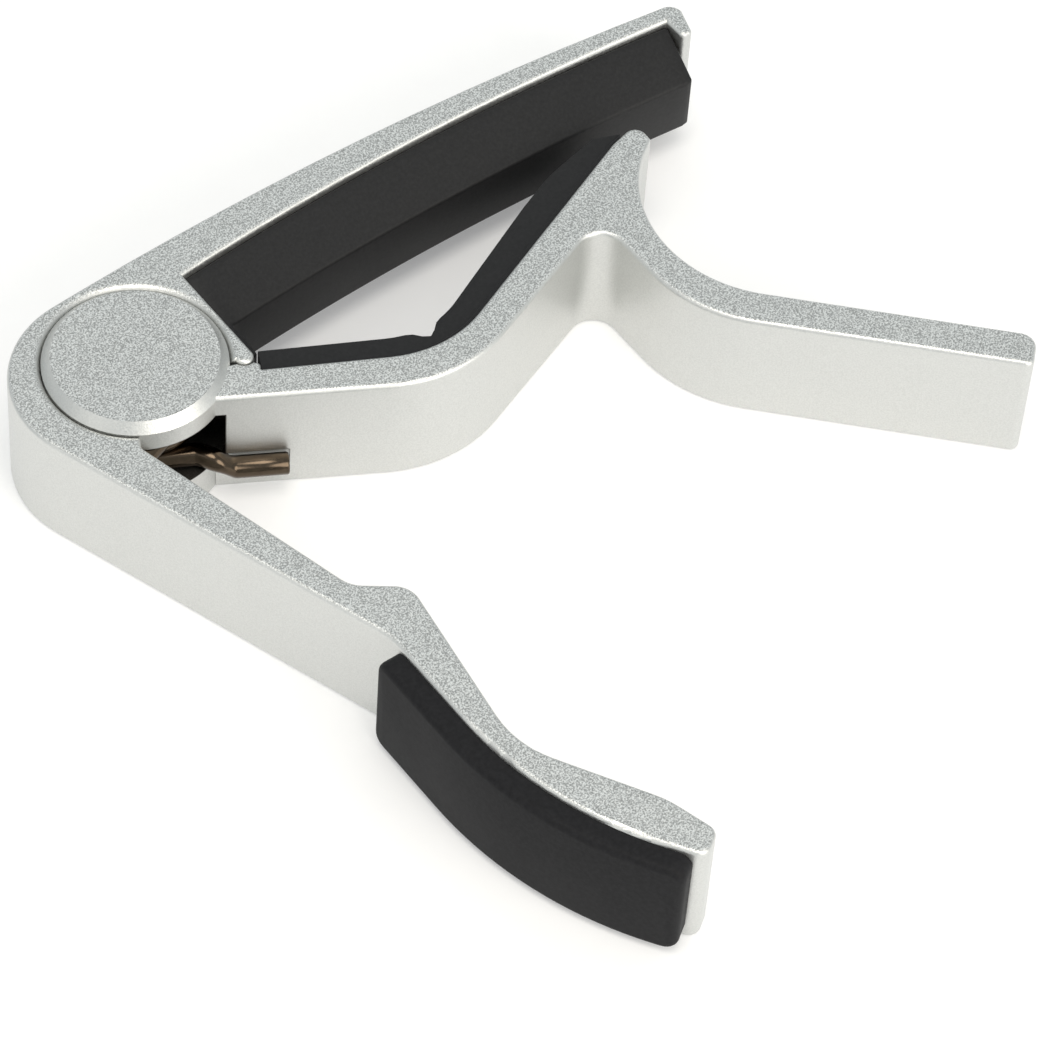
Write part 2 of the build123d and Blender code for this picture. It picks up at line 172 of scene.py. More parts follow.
def put(mesh, index, target):
    """Move one vertex to a place."""
    pick(mesh, [index])
    at = bmesh.from_edit_mesh(mesh).verts[index].co
    bpy.ops.transform.translate(value=target - at)


def sweep_sections(name, sections):
    """A closed bar: the first section is a flat polygon, extruded to each next one in turn."""
    corners = len(sections[0])
    clear_selection()
    centre = sum(sections[0], Vector()) / corners
    bpy.ops.mesh.primitive_circle_add(vertices=corners, radius=MM, fill_type="NGON", location=centre)
    bpy.ops.object.transform_apply(location=True, rotation=True, scale=True)
    piece = begin(name)
    mesh = piece.data
    for i, target in enumerate(sections[0]):
        put(mesh, i, target)
    last = list(range(corners))
    for before, after in zip(sections, sections[1:]):
        pick(mesh, last)
        shift = sum(after, Vector()) / corners - sum(before, Vector()) / corners
        bpy.ops.mesh.extrude_region_move(TRANSFORM_OT_translate={"value": shift})
        bm = bmesh.from_edit_mesh(mesh)
        bm.verts.ensure_lookup_table()
        fresh = [v.index for v in bm.verts if v.select]
        moved = [before[k] + shift for k in range(corners)]
        order = [min(fresh, key=lambda i, m=m: (bm.verts[i].co - m).length) for m in moved]
        for i, target in zip(order, after):
            put(mesh, i, target)
        last = order
    bpy.ops.mesh.select_all(action="SELECT")
    bpy.ops.mesh.normals_make_consistent(inside=False)
    bpy.ops.object.mode_set(mode="OBJECT")
    return piece


def draw_wire(name, path, radius, corners):
    """A round wire: a disc extruded from point to point and turned to face the way it runs."""
    clear_selection()
    run = path[1] - path[0]
    heading = math.atan2(run.y, run.x)
    bpy.ops.mesh.primitive_circle_add(vertices=corners, radius=radius, fill_type="NGON", location=path[0],
                                      rotation=(math.pi / 2, 0.0, heading + math.pi / 2))
    bpy.ops.object.transform_apply(location=True, rotation=True, scale=True)
    piece = begin(name)
    bpy.ops.mesh.select_all(action="SELECT")
    for i in range(1, len(path)):
        bpy.ops.mesh.extrude_region_move(TRANSFORM_OT_translate={"value": path[i] - path[i - 1]})
        ahead = path[min(i + 1, len(path) - 1)] - path[i - 1]
        turn = math.atan2(ahead.y, ahead.x) - heading
        turn = (turn + math.pi) % (2 * math.pi) - math.pi
        heading += turn
        bpy.ops.transform.rotate(value=-turn, orient_axis="Z", center_override=path[i])
    bpy.ops.mesh.select_all(action="SELECT")
    bpy.ops.mesh.normals_make_consistent(inside=False)
    bpy.ops.object.mode_set(mode="OBJECT")
    return piece


def apply_modifier(piece, kind, **settings):
    """Add a modifier to the piece and apply it."""
    clear_selection()
    bpy.context.view_layer.objects.active = piece
    piece.select_set(True)
    modifier = piece.modifiers.new(kind.title(), kind)
    for key, value in settings.items():
        setattr(modifier, key, value)
    bpy.ops.object.modifier_apply(modifier=modifier.name)


def smooth(piece, angle):
    """Smooth shading up to an angle between faces."""
    clear_selection()
    bpy.context.view_layer.objects.active = piece
    piece.select_set(True)
    bpy.ops.object.shade_smooth_by_angle(angle=math.radians(angle))


# ------------------------------------------------------------------ materials
def linear(hex_colour):
    """A linear RGBA colour from an sRGB hex value."""
    parts = [int(hex_colour.lstrip("#")[i:i + 2], 16) / 255 for i in (0, 2, 4)]
    parts = [c / 12.92 if c <= 0.04045 else ((c + 0.055) / 1.055) ** 2.4 for c in parts]
    return (*parts, 1.0)


def add_node(tree, kind, links=(), props=None, **values):
    """One node with its properties, input values and incoming links."""
    node = tree.nodes.new(kind)
    for key, value in (props or {}).items():
        setattr(node, key, value)
    for key, value in values.items():
        node.inputs[key.replace("_", " ")].default_value = value
    for target, source in links:
        tree.links.new(source, node.inputs[target])
    return node


def ramp(tree, source, stops):
    """A colour ramp fed by a value."""
    node = add_node(tree, "ShaderNodeValToRGB", links=[("Fac", source)])
    elements = node.color_ramp.elements
    while len(elements) < len(stops):
        elements.new(0.5)
    for element, (place, colour) in zip(elements, stops):
        element.position = place
        element.color = colour
    return node


def new_material(name):
    """An empty material with its shader, and its node tree."""
    material = bpy.data.materials.new(name)
    material.use_nodes = True
    tree = material.node_tree
    return material, tree, tree.nodes["Principled BSDF"]


def link_surface(tree, shader, colour, roughness, bump):
    """Connect the colour, the roughness and the relief of a finish to its shader."""
    tree.links.new(colour.outputs["Color"], shader.inputs["Base Color"])
    tree.links.new(roughness, shader.inputs["Roughness"])
    tree.links.new(bump.outputs["Normal"], shader.inputs["Normal"])


def grain_scale(size_mm):
    """Noise scale for a feature of this size, on Object coordinates in metres."""
    return 1.0 / (size_mm * MM)


def blasted_aluminium(look):
    """Cast aluminium, blasted with glass beads: dull silver, with a painted glitter of tiny dents on the flat
    faces and painted shade in the spring's slot.
    """
    material, tree, shader = new_material("Bead-blasted cast aluminium")
    place = add_node(tree, "ShaderNodeTexCoord").outputs["Object"]
    grit = add_node(tree, "ShaderNodeTexNoise", links=[("Vector", place)],
                    Scale=grain_scale(look.grit_mm), Detail=2.0, Roughness=0.6)
    dents = add_node(tree, "ShaderNodeTexVoronoi", links=[("Vector", place)],
                     Scale=grain_scale(look.grit_mm * 1.2))
    cloud = add_node(tree, "ShaderNodeTexNoise", links=[("Vector", place)],
                     Scale=grain_scale(6.0), Detail=3.0)
    metal = linear(look.metal_hex)
    # The speckle's lighter tone is a painted glint and its darker tone painted shade in the dents
    dark = tuple(c * 0.6 for c in metal[:3]) + (1.0,)
    light = tuple(min(1.0, c * 1.4) for c in metal[:3]) + (1.0,)
    grit_and_glint_speckle = ramp(tree, grit.outputs["Fac"], [(0.38, dark), (0.5, metal), (0.6, light)])
    # The speckle is partly the grit's own tone and partly painted glints and painted shade in the dents; it
    # goes only on the two flat faces, where the lamps glint, and the walls between them keep the plain colour
    facing = add_node(tree, "ShaderNodeTexCoord").outputs["Normal"]
    level = add_node(tree, "ShaderNodeSeparateXYZ", links=[("Vector", facing)])
    flat = add_node(tree, "ShaderNodeMath", props={"operation": "ABSOLUTE"}, links=[(0, level.outputs["Z"])])
    glint_share = add_node(tree, "ShaderNodeMapRange", links=[("Value", flat.outputs["Value"])],
                     **{"From_Min": 0.78, "From_Max": 0.96, "To_Min": 0.1, "To_Max": 1.0})
    colour = add_node(tree, "ShaderNodeMixRGB", links=[("Fac", glint_share.outputs["Result"]),
                                                       ("Color2", grit_and_glint_speckle.outputs["Color"])])
    colour.inputs["Color1"].default_value = metal
    # Painted shade: the slot round the spring, inside its radius and between its floor and roof, is mixed
    # towards a dark colour
    spot = add_node(tree, "ShaderNodeSeparateXYZ", links=[("Vector", place)])
    flat_spot = add_node(tree, "ShaderNodeCombineXYZ",
                         links=[("X", spot.outputs["X"]), ("Y", spot.outputs["Y"])])
    reach = add_node(tree, "ShaderNodeVectorMath", props={"operation": "LENGTH"},
                     links=[("Vector", flat_spot.outputs["Vector"])])
    inside = add_node(tree, "ShaderNodeMapRange", links=[("Value", reach.outputs["Value"])],
                      **{"From_Min": look.slot_radius + 0.1 * MM, "From_Max": look.slot_radius})
    height = add_node(tree, "ShaderNodeMath", props={"operation": "SUBTRACT"}, links=[(0, spot.outputs["Z"])])
    height.inputs[1].default_value = look.slot_middle
    away = add_node(tree, "ShaderNodeMath", props={"operation": "ABSOLUTE"},
                    links=[(0, height.outputs["Value"])])
    between = add_node(tree, "ShaderNodeMapRange", links=[("Value", away.outputs["Value"])],
                       **{"From_Min": look.slot_half + 0.1 * MM, "From_Max": look.slot_half})
    # Mask of the painted shade in the slot
    painted_slot_shade = add_node(tree, "ShaderNodeMath", props={"operation": "MULTIPLY"},
                      links=[(0, inside.outputs["Result"]), (1, between.outputs["Result"])])
    colour = add_node(tree, "ShaderNodeMixRGB", links=[("Fac", painted_slot_shade.outputs["Value"]),
                                                       ("Color1", colour.outputs["Color"])])
    # The dark colour of the painted shade in the slot
    colour.inputs["Color2"].default_value = linear(look.slot_shade_hex)
    rough = add_node(tree, "ShaderNodeMapRange", links=[("Value", dents.outputs["Distance"])],
                     **{"To_Min": 0.3, "To_Max": 0.5})
    rough_total = add_node(tree, "ShaderNodeMath", props={"operation": "MULTIPLY_ADD"},
                           links=[(0, cloud.outputs["Fac"]), (2, rough.outputs["Result"])])
    rough_total.inputs[1].default_value = 0.06
    bump = add_node(tree, "ShaderNodeBump", links=[("Height", grit.outputs["Fac"])],
                    Strength=0.45, Distance=0.04 * MM)
    shader.inputs["Metallic"].default_value = 1.0
    link_surface(tree, shader, colour, rough_total.outputs["Value"], bump)
    return material


def moulded_rubber(name, hex_colour, roughness, grain_mm, gloss=0.26):
    """Moulded rubber: near black, matt, with the fine texture of the mould and a trace of dust."""
    material, tree, shader = new_material(name)
    place = add_node(tree, "ShaderNodeTexCoord").outputs["Object"]
    grain = add_node(tree, "ShaderNodeTexNoise", links=[("Vector", place)],
                     Scale=grain_scale(grain_mm), Detail=4.0, Roughness=0.65)
    wear = add_node(tree, "ShaderNodeTexNoise", links=[("Vector", place)],
                    Scale=grain_scale(9.0), Detail=3.0)
    rubber = linear(hex_colour)
    dusty = tuple(c * 1.5 + 0.003 for c in rubber[:3]) + (1.0,)
    colour = ramp(tree, grain.outputs["Fac"], [(0.35, rubber), (0.75, dusty)])
    rough = add_node(tree, "ShaderNodeMapRange", links=[("Value", wear.outputs["Fac"])],
                     **{"To_Min": roughness - 0.06, "To_Max": roughness + 0.06})
    bump = add_node(tree, "ShaderNodeBump", links=[("Height", grain.outputs["Fac"])],
                    Strength=0.25, Distance=0.03 * MM)
    link_surface(tree, shader, colour, rough.outputs["Result"], bump)
    shader.inputs["IOR"].default_value = 1.52
    shader.inputs["Specular IOR Level"].default_value = gloss
    return material


def plated_wire(look):
    """Plated spring wire: dark and slightly warm, with the faint lines that drawing leaves."""
    material, tree, shader = new_material("Nickel-plated drawn wire")
    place = add_node(tree, "ShaderNodeTexCoord").outputs["Object"]
    lines = add_node(tree, "ShaderNodeTexNoise", links=[("Vector", place)],
                     Scale=grain_scale(0.5), Detail=5.0, Roughness=0.7)
    rough = add_node(tree, "ShaderNodeMapRange", links=[("Value", lines.outputs["Fac"])],
                     **{"To_Min": 0.1, "To_Max": 0.26})
    plate = linear(look.wire_hex)
    dull = tuple(c * 0.8 for c in plate[:3]) + (1.0,)
    colour = ramp(tree, lines.outputs["Fac"], [(0.3, dull), (0.6, plate)])
    bump = add_node(tree, "ShaderNodeBump", links=[("Height", lines.outputs["Fac"])],
                    Strength=0.15, Distance=0.02 * MM)
    shader.inputs["Metallic"].default_value = 1.0
    link_surface(tree, shader, colour, rough.outputs["Result"], bump)
    return material


def ground_steel():
    """Steel ground flush with the face round it: fine rings, brighter than the blasted casting."""
    material, tree, shader = new_material("Ground steel rivet")
    place = add_node(tree, "ShaderNodeTexCoord").outputs["Object"]
    rings = add_node(tree, "ShaderNodeTexWave", links=[("Vector", place)],
                     props={"wave_type": "RINGS", "rings_direction": "Z"},
                     Scale=grain_scale(0.25) / (2 * math.pi), Distortion=0.6, Detail=2.0)
    rough = add_node(tree, "ShaderNodeMapRange", links=[("Value", rings.outputs["Fac"])],
                     **{"To_Min": 0.2, "To_Max": 0.36})
    colour = ramp(tree, rings.outputs["Fac"], [(0.2, linear("#9C9B99")), (0.8, linear("#BDBCBA"))])
    bump = add_node(tree, "ShaderNodeBump", links=[("Height", rings.outputs["Fac"])],
                    Strength=0.1, Distance=0.02 * MM)
    shader.inputs["Metallic"].default_value = 1.0
    link_surface(tree, shader, colour, rough.outputs["Result"], bump)
    return material


def light_table(look):
    """Opal acrylic lit from below: plain, pale and matt, so that shadows stay faint."""
    material, tree, shader = new_material("Backlit opal acrylic")
    place = add_node(tree, "ShaderNodeTexCoord").outputs["Object"]
    tooth = add_node(tree, "ShaderNodeTexNoise", links=[("Vector", place)],
                     Scale=grain_scale(3.0), Detail=2.0)
    paper = linear(look.floor_hex)
    shade = tuple(c * 0.985 for c in paper[:3]) + (1.0,)
    colour = ramp(tree, tooth.outputs["Fac"], [(0.3, shade), (0.7, paper)])
    tree.links.new(colour.outputs["Color"], shader.inputs["Base Color"])
    shader.inputs["Roughness"].default_value = 0.6
    shader.inputs["Emission Color"].default_value = linear("#FFFFFF")
    shader.inputs["Emission Strength"].default_value = look.floor_glow
    return material


def cover(node_name, material):
    """Give a CAD node its finish."""
    for slot in NODES[node_name].material_slots:
        slot.material = material


def finish_piece(piece, material, body, slot, *nodes):
    """Material, body and the CAD nodes that a new piece stands for; the slot argument is not used."""
    piece.data.materials.clear()
    piece.data.materials.append(material)
    if body:
        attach(piece, body)
    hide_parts(*nodes)


# ------------------------------------------------------------------ settings
class CAPO_PG_look(bpy.types.PropertyGroup):
    """Colours and grain of the capo's finishes, and the painted shade in the spring's slot."""
    metal_hex: StringProperty(name="Casting", description="Colour of the blasted castings, sRGB hex",
                              default="#D2D3D1")
    rubber_hex: StringProperty(name="Pads", description="Colour of the rubber pads, sRGB hex",
                               default="#161617")
    grip_hex: StringProperty(name="Grip", description="Colour of the handle grip, sRGB hex",
                             default="#161618")
    wire_hex: StringProperty(name="Spring", description="Colour of the spring's plating, sRGB hex",
                             default="#574C40")
    floor_hex: StringProperty(name="Floor", description="Colour of the studio floor, sRGB hex",
                              default="#DCDCDC")
    floor_glow: FloatProperty(name="Glow", description="Light that comes up through the floor",
                              default=0.28, min=0.0)
    # The colour of the painted shade in the spring's slot
    slot_shade_hex: StringProperty(name="Slot", description="Colour of the shaded slot round the spring",
                               default="#4A4743")
    # Where the painted shade in the slot reaches: the slot's radius, middle and half height
    slot_radius: FloatProperty(name="Slot radius", description="How far the shaded slot reaches",
                               default=9.52 * MM, unit="LENGTH")
    slot_middle: FloatProperty(name="Slot middle", description="Height of the slot's middle",
                               default=7.4 * MM, unit="LENGTH")
    slot_half: FloatProperty(name="Slot half height", description="Half the slot's height",
                             default=3.21 * MM, unit="LENGTH")
    grit_mm: FloatProperty(name="Grit", description="Size of the blasted dents, in millimetres",
                           default=0.16, min=0.05, max=2.0)


class CAPO_PG_string_pad(bpy.types.PropertyGroup):
    """Sizes of the pad under the string bar."""
    arch_radius: FloatProperty(name="Arch", description="Radius of the fretboard that the pad matches",
                               default=300 * MM, unit="LENGTH")
    crown_x: FloatProperty(name="Crown", description="Distance of the arch's crown from the pivot",
                           default=40 * MM, unit="LENGTH")
    crown_y: FloatProperty(name="Seat", description="Height of the bar's inner side at the crown",
                           default=7.78 * MM, unit="LENGTH")
    height: FloatProperty(name="Height", description="From the bar to the contact face",
                          default=5.6 * MM, unit="LENGTH")
    face_width: FloatProperty(name="Face width", description="Width of the contact face",
                              default=6.2 * MM, unit="LENGTH")
    edge: FloatProperty(name="Edge", description="Rounding of the edges", default=0.42 * MM, unit="LENGTH")


class CAPO_PG_neck_pad(bpy.types.PropertyGroup):
    """Sizes of the pad on the arm."""
    thickness: FloatProperty(name="Thickness", description="Rubber above the arm",
                             default=2.85 * MM, unit="LENGTH")
    edge: FloatProperty(name="Edge", description="Rounding of the edges", default=0.12 * MM, unit="LENGTH")
    flange: FloatProperty(name="Flange", description="Height of the pad's foot along the arm",
                          default=0.5 * MM, unit="LENGTH")
    flange_step: FloatProperty(name="Flange step", description="How far the foot stands out at each side",
                               default=0.22 * MM, unit="LENGTH")


class CAPO_PG_grip(bpy.types.PropertyGroup):
    """Sizes of the handle grip."""
    thickness: FloatProperty(name="Thickness", description="Rubber outside the handle",
                             default=2.3 * MM, unit="LENGTH")
    edge: FloatProperty(name="Edge", description="Rounding of the outer edges",
                        default=0.7 * MM, unit="LENGTH")
    corner: FloatProperty(name="Corner", description="Rounding of the four corners", default=1.5 * MM,
                          unit="LENGTH")


class CAPO_PG_spring(bpy.types.PropertyGroup):
    """Sizes of the torsion spring."""
    wire_radius: FloatProperty(name="Wire radius", description="Half the wire's diameter",
                               default=1.1 * MM, unit="LENGTH")
    coil_radius: FloatProperty(name="Coil radius", description="To the middle of the wire",
                               default=5.6 * MM, unit="LENGTH")
    pitch: FloatProperty(name="Pitch", description="Rise of one turn", default=2.22 * MM, unit="LENGTH")


class CAPO_PG_stage(bpy.types.PropertyGroup):
    """Camera, lights and floor."""
    lens: FloatProperty(name="Lens", description="Focal length on a 36 mm sensor", default=175.5,
                        unit="CAMERA")
    eye: FloatVectorProperty(name="Camera", description="Where the camera stands",
                             default=(-0.1683, -0.2537, 0.3775), subtype="TRANSLATION")
    aim: FloatVectorProperty(name="Aim", description="What the middle of the view looks at",
                             default=(0.01817, -0.03587, 0.013), subtype="TRANSLATION")
    up: FloatVectorProperty(name="Up", description="Which way is up in the view",
                            default=(0.44766, 0.64794, 0.61626), subtype="DIRECTION")


# ------------------------------------------------------------------ operators
class CAPO_OT_castings(bpy.types.Operator):
    """Finish the frame, the arm and the pieces of the pivot"""
    bl_idname = "capo.castings"
    bl_label = "Castings"

    def execute(self, context):
        look = context.scene.capo_look
        metal = blasted_aluminium(look)
        for name in ("frame", "arm", "retaining_disc"):
            cover(name, metal)
        cover("pivot_rivet", ground_steel())
        cover("coil_sleeve", moulded_rubber("Black moulded nylon", "#121213", 0.4, 0.6))
        return {"FINISHED"}


class CAPO_OT_string_pad(bpy.types.Operator):
    """Model the rubber pad that presses on the strings"""
    bl_idname = "capo.string_pad"
    bl_label = "String Pad"

    def execute(self, context):
        sizes = context.scene.capo_string_pad
        low, high = PAD_BOX
        left, right = low[0], high[0]
        low_z, high_z = low[2], high[2]
        middle = (low_z + high_z) / 2

        def arch(x):
            return math.sqrt(sizes.arch_radius ** 2 - (x - sizes.crown_x) ** 2) - sizes.arch_radius

        def section(x):
            back = sizes.crown_y + arch(x)
            face = back - sizes.height
            shoulder = back - PAD_STRAIGHT_SIDE
            half = sizes.face_width / 2
            return [Vector((x, back, low_z)), Vector((x, shoulder, low_z)),
                    Vector((x, face, middle - half)), Vector((x, face, middle + half)),
                    Vector((x, shoulder, high_z)), Vector((x, back, high_z))]

        steps = 40
        foot = left + PAD_FOOT_LENGTH
        body = foot + PAD_FOOT_BLEND
        places = [left, foot, body]
        places += [body + (right - body) * i / steps for i in range(1, steps + 1)]
        sections = [section(x) for x in places]
        # The free end leans back towards the contact face
        for point in sections[-1][2:4]:
            point.x -= PAD_END_LEAN[0]
            point.y += PAD_END_LEAN[1]
        piece = sweep_sections("rubber_string_pad", sections)
        # The foot that runs down the nose
        bpy.ops.object.mode_set(mode="EDIT")
        bpy.ops.mesh.select_mode(type="FACE")
        bpy.ops.mesh.select_all(action="DESELECT")
        bm = bmesh.from_edit_mesh(piece.data)
        for f in bm.faces:
            c = f.calc_center_median()
            if c.x < foot and f.normal.y < -0.9:
                f.select_set(True)
        bmesh.update_edit_mesh(piece.data)
        drop = low[1] - section(left)[2].y
        bpy.ops.mesh.extrude_region_move(TRANSFORM_OT_translate={"value": (0, drop, 0)})
        bpy.ops.object.mode_set(mode="OBJECT")
        apply_modifier(piece, "BEVEL", width=sizes.edge, segments=3, limit_method="ANGLE",
                       angle_limit=math.radians(25))
        smooth(piece, 40)
        rubber = moulded_rubber("Moulded black rubber", context.scene.capo_look.rubber_hex, 0.5, 0.35)
        finish_piece(piece, rubber, FRAME_BODY, "rubber", "string_pad")
        return {"FINISHED"}


class CAPO_OT_neck_pad(bpy.types.Operator):
    """Model the rubber pad that rests on the back of the neck"""
    bl_idname = "capo.neck_pad"
    bl_label = "Neck Pad"

    def execute(self, context):
        sizes = context.scene.capo_neck_pad
        low_z, high_z = NECK_BOX[0][2], NECK_BOX[1][2]
        # The arm's two seats meet in a rounded valley
        seat_left, left_angle = plan(16.54, -11.08), -27.1
        seat_right, right_angle = plan(41.57, -8.27), 22.8
        start = seat_left + direction(left_angle + 180) * 8.25 * MM
        a, b = direction(left_angle), direction(right_angle)
        w = seat_right - seat_left
        valley = seat_left + a * ((w.x * b.y - w.y * b.x) / (a.x * b.y - a.y * b.x))
        brow = plan(53.4, -3.33)
        lip = plan(55.2, -2.2)
        lift = Vector((0, 0.02 * MM, 0))
        arc = rounded_corner(start, valley, brow, 12 * MM, 12)
        under = [start + (arc[0] - start) * i / 8 for i in range(8)]
        under += arc
        under += [arc[-1] + (brow - arc[-1]) * i / 18 for i in range(1, 19)]
        pairs = []
        for i, low in enumerate(under):
            ahead = under[min(i + 1, len(under) - 1)] - under[max(i - 1, 0)]
            normal = Vector((-ahead.y, ahead.x, 0)).normalized()
            reach = (low - under[0]).length
            # Full thickness on both legs, a groove at the bend, thinning out to the jaw's tip
            far = (low - arc[-1]).dot(b) if i > 20 else 0.0
            thick = sizes.thickness + 0.6 * MM * min(1.0, far / (14 * MM))
            thick *= 1.0 - 0.62 * max(0.0, (far - 19 * MM) / (12 * MM))
            bend = (low - valley).length / MM
            groove = 1.2 * MM * math.exp(-((low.x - valley.x) / MM / 1.3) ** 2) if bend < 6 else 0.0
            pairs.append((low + normal * 0.02 * MM, low + normal * (thick - groove)))
        pairs.append((lip - Vector((0.5 * MM, 0.62 * MM, 0)), lip))
        sections = []
        for low, top in pairs:
            ledge = low.lerp(top, min(0.6, sizes.flange / (top - low).length))
            step = sizes.flange_step
            rail = ((low, low_z), (ledge, low_z), (ledge, low_z + step), (top, low_z + step),
                    (top, high_z - step), (ledge, high_z - step), (ledge, high_z), (low, high_z))
            sections.append([Vector((p.x, p.y, z)) for p, z in rail])
        piece = sweep_sections("rubber_neck_pad", sections)
        apply_modifier(piece, "BEVEL", width=sizes.edge, segments=3, limit_method="ANGLE",
                       angle_limit=math.radians(40))
        smooth(piece, 40)
        rubber = bpy.data.materials["Moulded black rubber"]
        finish_piece(piece, rubber, ARM_BODY, "rubber", "neck_pad")
        return {"FINISHED"}


class CAPO_OT_grip(bpy.types.Operator):
    """Model the rubber grip on the outside of the long handle"""
    bl_idname = "capo.grip"
    bl_label = "Handle Grip"

    def execute(self, context):
        sizes = context.scene.capo_grip
        low_z, high_z = GRIP_BOX[0][2], GRIP_BOX[1][2]
        seat = plan(*GRIP_SEAT)
        centre = Vector((HANDLE_LINE_X + HANDLE_CURVE_RADIUS, HANDLE_BEND_Y, 0))
        inner = [Vector((seat.x, seat.y + (HANDLE_BEND_Y - seat.y) * i / 6, 0)) for i in range(6)]
        inner += arc_points(centre, HANDLE_CURVE_RADIUS + FIT_GAP, 180, GRIP_END_ANGLE, 18)
        inner.append(inner[-1] + direction(HANDLE_END_ANGLE) * GRIP_OVERRUN)
        pairs = []
        for i, p in enumerate(inner):
            ahead = inner[min(i + 1, len(inner) - 1)] - inner[max(i - 1, 0)]
            normal = Vector((ahead.y, -ahead.x, 0)).normalized()
            pairs.append((p, p + normal * sizes.thickness))
        sections = []
        for low, top in pairs:
            rim = ((low, low_z), (top, low_z), (top, high_z), (low, high_z))
            sections.append([Vector((p.x, p.y, z)) for p, z in rim])
        piece = sweep_sections("rubber_handle_grip", sections)
        # The four corners are rounded across the thickness, then the outer rim
        first, final = pairs[0], pairs[-1]
        for offset, segments, corners in ((sizes.corner, 6, True), (sizes.edge, 4, False)):
            bpy.ops.object.mode_set(mode="EDIT")
            bpy.ops.mesh.select_mode(type="EDGE")
            bpy.ops.mesh.select_all(action="DESELECT")
            bm = bmesh.from_edit_mesh(piece.data)
            for e in bm.edges:
                if len(e.link_faces) < 2 or e.calc_face_angle() < math.radians(50):
                    continue
                ends = [Vector((v.co.x, v.co.y, 0)) for v in e.verts]
                if corners:
                    e.select_set(any(min((p - q[0]).length, (p - q[1]).length) < 1e-6 and
                                     min((r - q[0]).length, (r - q[1]).length) < 1e-6 and
                                     (p - r).length > 1e-4
                                     for q in (first, final) for p, r in (ends,)))
                else:
                    e.select_set(all(min((p - outer).length for _, outer in pairs) < sizes.corner
                                     and min((p - low).length for low, _ in pairs) > sizes.thickness * 0.8
                                     for p in ends))
            bmesh.update_edit_mesh(piece.data)
            bpy.ops.mesh.bevel(offset=offset, segments=segments, affect="EDGES", clamp_overlap=True)
            bpy.ops.object.mode_set(mode="OBJECT")
        smooth(piece, 40)
        rubber = moulded_rubber("Moulded black grip", context.scene.capo_look.grip_hex, 0.6, 0.45, 0.15)
        finish_piece(piece, rubber, FRAME_BODY, "rubber", "handle_grip")
        return {"FINISHED"}


class CAPO_OT_spring(bpy.types.Operator):
    """Wind the torsion spring and bend its two legs"""
    bl_idname = "capo.spring"
    bl_label = "Torsion Spring"

    def execute(self, context):
        sizes = context.scene.capo_spring
        low_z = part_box("coil_sleeve")[0][2] + 0.005 * MM + sizes.wire_radius
        start, turn = COIL_START, COIL_SWEEP
        end = start + turn
        high_z = low_z + sizes.pitch * abs(turn) / 360.0
        steps = 112
        # Lower leg, from its tip to the coil
        face, face_angle = plan(*ARM_FACE_START), ARM_FACE_ANGLE
        off_face = direction(face_angle - 90) * LEG_OFFSET
        on_face = face + direction(face_angle) * LEG_FROM + off_face
        tip = face + direction(face_angle) * LEG_TO + off_face
        leg_z = SPRING_BOX[0][2] + sizes.wire_radius
        first = direction(start) * sizes.coil_radius
        straight = first + direction(start + 90) * LEG_STRAIGHT
        step = plan(*LEG_STEP)
        knots = [Vector((*tip.xy, leg_z)), Vector((*on_face.xy, leg_z)), Vector((*step.xy, LEG_STEP_Z)),
                 Vector((*straight.xy, low_z))]
        path = [knots[0], knots[0].lerp(knots[1], 0.5)]
        tangents = [direction(face_angle + 180) * 2.0 * MM,
                    (knots[3] - knots[1]) * 0.5, direction(start - 90) * 2.0 * MM]
        for k in range(2):
            p0, p1 = knots[k + 1], knots[k + 2]
            for i in range(8):
                t = i / 8
                path.append(p0 * (2 * t ** 3 - 3 * t ** 2 + 1) + tangents[k] * (t ** 3 - 2 * t ** 2 + t)
                            + p1 * (3 * t ** 2 - 2 * t ** 3) + tangents[k + 1] * (t ** 3 - t ** 2))
        path.append(knots[3])
        for i in range(steps + 1):
            place = direction(start + turn * i / steps) * sizes.coil_radius
            path.append(Vector((*place.xy, low_z + (high_z - low_z) * i / steps)))
        path.append(path[-1] + direction(end - 90) * UPPER_LEG_LENGTH)
        piece = draw_wire("wire_torsion_spring", path, sizes.wire_radius, 20)
        apply_modifier(piece, "BEVEL", width=0.18 * MM, segments=2, limit_method="ANGLE",
                       angle_limit=math.radians(60))
        smooth(piece, 45)
        finish_piece(piece, plated_wire(context.scene.capo_look), None, "spring_wire", "torsion_spring")
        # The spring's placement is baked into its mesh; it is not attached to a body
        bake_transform(piece)
        return {"FINISHED"}


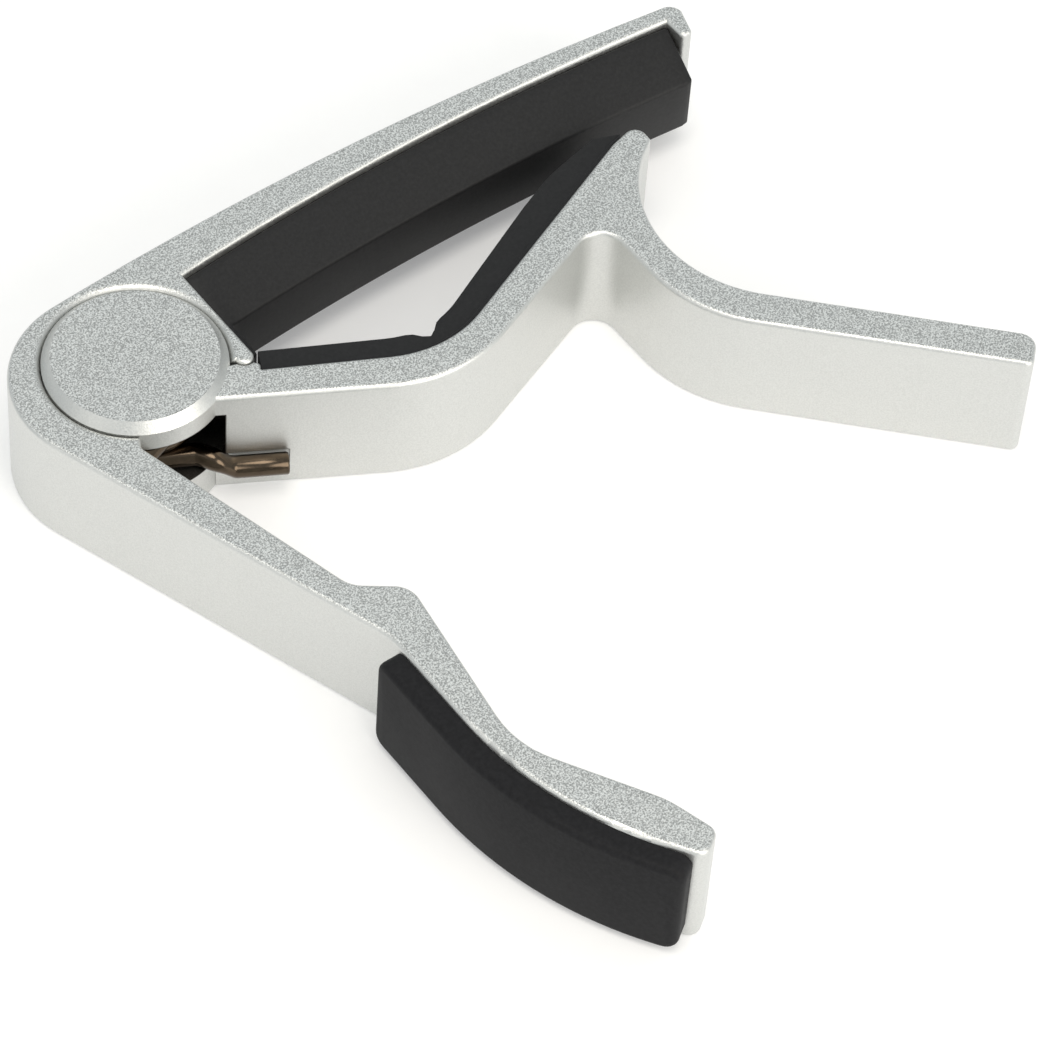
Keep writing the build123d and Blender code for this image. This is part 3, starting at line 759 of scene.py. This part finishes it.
class CAPO_OT_stage(bpy.types.Operator):
    """Set the floor, the soft lights and the camera"""
    bl_idname = "capo.stage"
    bl_label = "Studio"

    def execute(self, context):
        stage = context.scene.capo_stage
        clear_selection()
        bpy.ops.mesh.primitive_plane_add(size=6.0, location=(0, 0, 0))
        floor = context.object
        floor.name = "studio_floor"
        floor.data.materials.append(light_table(context.scene.capo_look))
        for name, place, size, power in SOFTBOXES:
            bpy.ops.object.light_add(type="AREA", location=place)
            light = context.object
            light.name = name
            light.data.shape = "DISK"
            light.data.size = size
            light.data.energy = power
            light.data.color = linear("#FFF8EE")[:3]
            light.rotation_euler = (Vector(LIGHT_AIM) - Vector(place)).to_track_quat("-Z", "Y").to_euler()
        world = bpy.data.worlds.new("Studio")
        world.use_nodes = True
        back = world.node_tree.nodes["Background"]
        back.inputs["Color"].default_value = linear("#F9FEFF")
        back.inputs["Strength"].default_value = 0.7
        context.scene.world = world
        bpy.ops.object.camera_add(location=stage.eye)
        camera = context.object
        camera.name = "camera"
        view = (Vector(stage.aim) - Vector(stage.eye)).normalized()
        side = view.cross(Vector(stage.up)).normalized()
        top = side.cross(view)
        rows = [(side[i], top[i], -view[i], stage.eye[i]) for i in range(3)]
        camera.matrix_world = Matrix((*rows, (0.0, 0.0, 0.0, 1.0)))
        camera.data.sensor_width = 36.0
        camera.data.lens = stage.lens
        camera.data.clip_start = 0.01
        camera.data.clip_end = 20.0
        context.scene.camera = camera
        context.scene.view_settings.view_transform = "Standard"
        return {"FINISHED"}


class CAPO_PT_panel(bpy.types.Panel):
    """The capo's pieces and finishes"""
    bl_idname = "CAPO_PT_panel"
    bl_label = "Guitar Capo"
    bl_space_type = "VIEW_3D"
    bl_region_type = "UI"
    bl_category = "Capo"

    def draw(self, context):
        for group in GROUPS:
            box = self.layout.box()
            settings = getattr(context.scene, group)
            for key in settings.__annotations__:
                box.prop(settings, key)
        for operator in OPERATORS:
            self.layout.operator(operator.bl_idname)


GROUPS = {
    "capo_look": CAPO_PG_look,
    "capo_string_pad": CAPO_PG_string_pad,
    "capo_neck_pad": CAPO_PG_neck_pad,
    "capo_grip": CAPO_PG_grip,
    "capo_spring": CAPO_PG_spring,
    "capo_stage": CAPO_PG_stage,
}
OPERATORS = (CAPO_OT_castings, CAPO_OT_string_pad, CAPO_OT_neck_pad, CAPO_OT_grip, CAPO_OT_spring,
             CAPO_OT_stage)


def register():
    for name, group in GROUPS.items():
        bpy.utils.register_class(group)
        setattr(bpy.types.Scene, name, PointerProperty(type=group))
    for operator in OPERATORS:
        bpy.utils.register_class(operator)
    bpy.utils.register_class(CAPO_PT_panel)


def unregister():
    bpy.utils.unregister_class(CAPO_PT_panel)
    for operator in reversed(OPERATORS):
        bpy.utils.unregister_class(operator)
    for name, group in reversed(GROUPS.items()):
        delattr(bpy.types.Scene, name)
        bpy.utils.unregister_class(group)


def main():
    """Make every piece and the studio."""
    register()
    bpy.ops.capo.castings()
    bpy.ops.capo.string_pad()
    bpy.ops.capo.neck_pad()
    bpy.ops.capo.grip()
    bpy.ops.capo.spring()
    bpy.ops.capo.stage()


if __name__ == "__main__":
    main()
